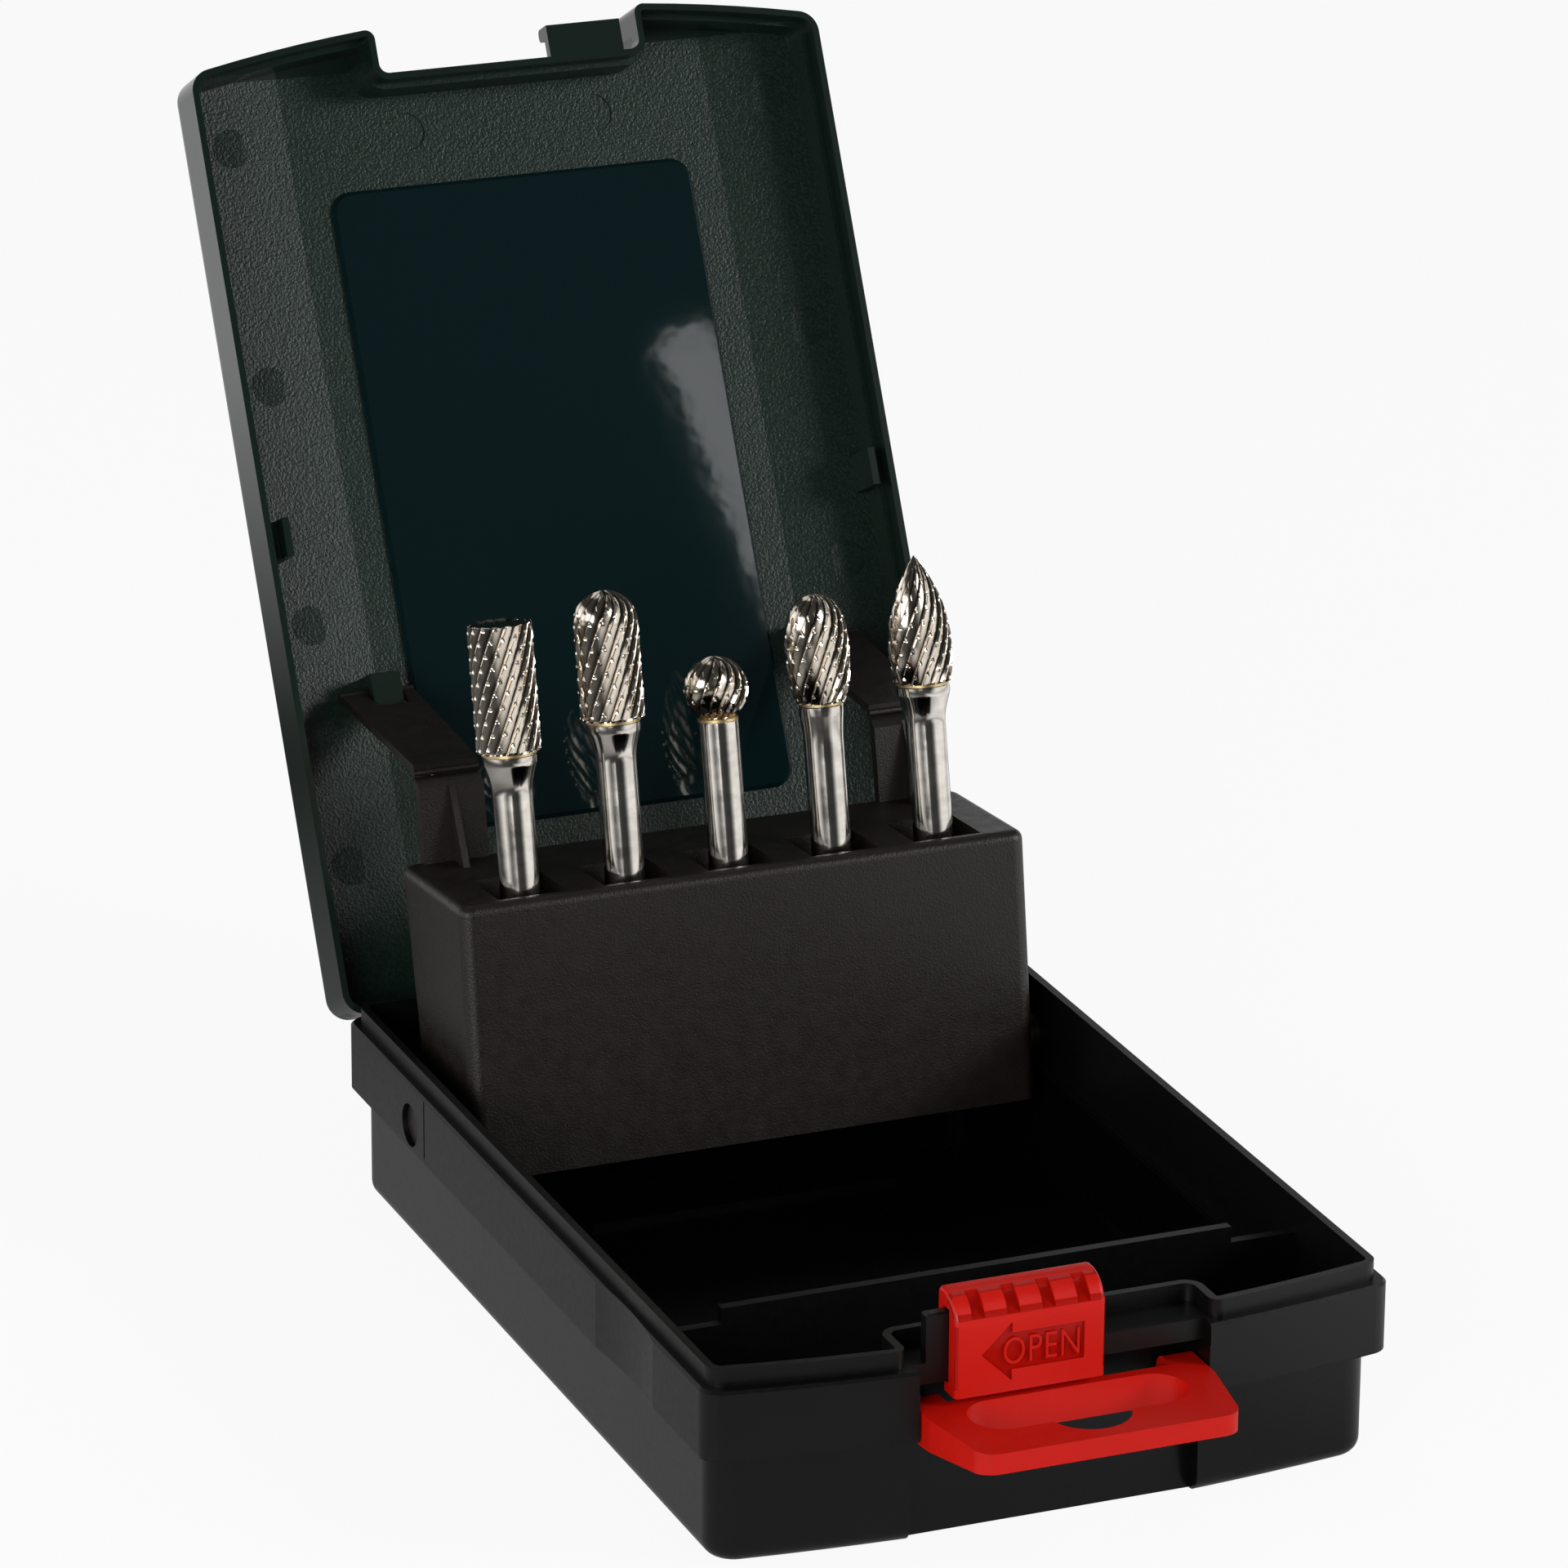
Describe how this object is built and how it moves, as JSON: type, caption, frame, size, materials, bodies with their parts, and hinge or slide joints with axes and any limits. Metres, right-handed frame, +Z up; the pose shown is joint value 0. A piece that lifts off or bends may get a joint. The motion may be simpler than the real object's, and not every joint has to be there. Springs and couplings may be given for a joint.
{
  "type": "carbide burr set",
  "caption": "Hinged plastic case whose block of rotary burrs tilts up on straps as the lid opens, with a sliding latch and a fold-out hanger.",
  "frame": {"origin": "centre of the tray's plan on its underside", "axes": "+X to the right seen from the latch, +Y from the latch to the lid hinge, +Z up"},
  "size_m": [0.102, 0.241, 0.1588],
  "materials": {
    "tray_plastic": "semi-gloss",
    "lid_plastic": "semi-gloss",
    "block_plastic": "satin",
    "red_plastic": "satin",
    "shank_steel": "ground",
    "braze_metal": "satin",
    "carbide": "polished"
  },
  "bodies": {
    "tray": {"base_tray": "tray_plastic"},
    "lid": {"lid": "lid_plastic"},
    "block": {"burr_block": "block_plastic"},
    "strap_left": {"strap_left": "block_plastic"},
    "strap_right": {"strap_right": "block_plastic"},
    "latch": {"latch_slider": "red_plastic"},
    "hanger": {"hanger": "red_plastic"},
    "cylinder_burr": {"cylinder_burr_shank": "shank_steel", "cylinder_burr_braze": "braze_metal", "cylinder_burr_head": "carbide"},
    "ball_nose_burr": {"ball_nose_burr_shank": "shank_steel", "ball_nose_burr_braze": "braze_metal", "ball_nose_burr_head": "carbide"},
    "ball_burr": {"ball_burr_shank": "shank_steel", "ball_burr_braze": "braze_metal", "ball_burr_head": "carbide"},
    "oval_burr": {"oval_burr_shank": "shank_steel", "oval_burr_braze": "braze_metal", "oval_burr_head": "carbide"},
    "tree_burr": {"tree_burr_shank": "shank_steel", "tree_burr_braze": "braze_metal", "tree_burr_head": "carbide"}
  },
  "joints": [
    {"name": "lid_hinge", "type": "hinge", "parent": "tray", "child": "lid", "pos_m": [0, 0.0719, 0.0273], "axis": [-1, 0, 0], "range_deg": [-117.3, 0]},
    {"name": "block_tilt", "type": "hinge", "parent": "tray", "child": "block", "pos_m": [0, 0.04415, 0.0204], "axis": [-1, 0, 0], "range_deg": [-106.6, 0]},
    {"name": "strap_left_fold", "type": "hinge", "parent": "block", "child": "strap_left", "pos_m": [0, 0.0678, 0.06577], "axis": [1, 0, 0], "range_deg": [-102, 0]},
    {"name": "strap_right_fold", "type": "hinge", "parent": "block", "child": "strap_right", "pos_m": [0, 0.0678, 0.06577], "axis": [1, 0, 0], "range_deg": [-102, 0]},
    {"name": "latch_slide", "type": "slide", "parent": "tray", "child": "latch", "axis": [1, 0, 0], "range_m": [-0.003, 0], "stiffness_N_per_m": 300, "springref_m": 0.001},
    {"name": "hanger_fold", "type": "hinge", "parent": "tray", "child": "hanger", "pos_m": [0, -0.0717, 0.0185], "axis": [-1, 0, 0], "range_deg": [-90, 0]},
    {"name": "cylinder_burr_lift", "type": "slide", "parent": "block", "child": "cylinder_burr", "axis": [0, 0.2079, 0.9781], "range_m": [0, 0.026]},
    {"name": "ball_nose_burr_lift", "type": "slide", "parent": "block", "child": "ball_nose_burr", "axis": [0, 0.2079, 0.9781], "range_m": [0, 0.026]},
    {"name": "ball_burr_lift", "type": "slide", "parent": "block", "child": "ball_burr", "axis": [0, 0.2079, 0.9781], "range_m": [0, 0.026]},
    {"name": "oval_burr_lift", "type": "slide", "parent": "block", "child": "oval_burr", "axis": [0, 0.2079, 0.9781], "range_m": [0, 0.026]},
    {"name": "tree_burr_lift", "type": "slide", "parent": "block", "child": "tree_burr", "axis": [0, 0.2079, 0.9781], "range_m": [0, 0.026]}
  ],
  "couplings": [
    {"joint": "block_tilt", "follows": "lid_hinge", "ratio": 0.90793},
    {"joint": "strap_left_fold", "follows": "lid_hinge", "ratio": 0.86854},
    {"joint": "strap_right_fold", "follows": "lid_hinge", "ratio": 0.86854}
  ]
}
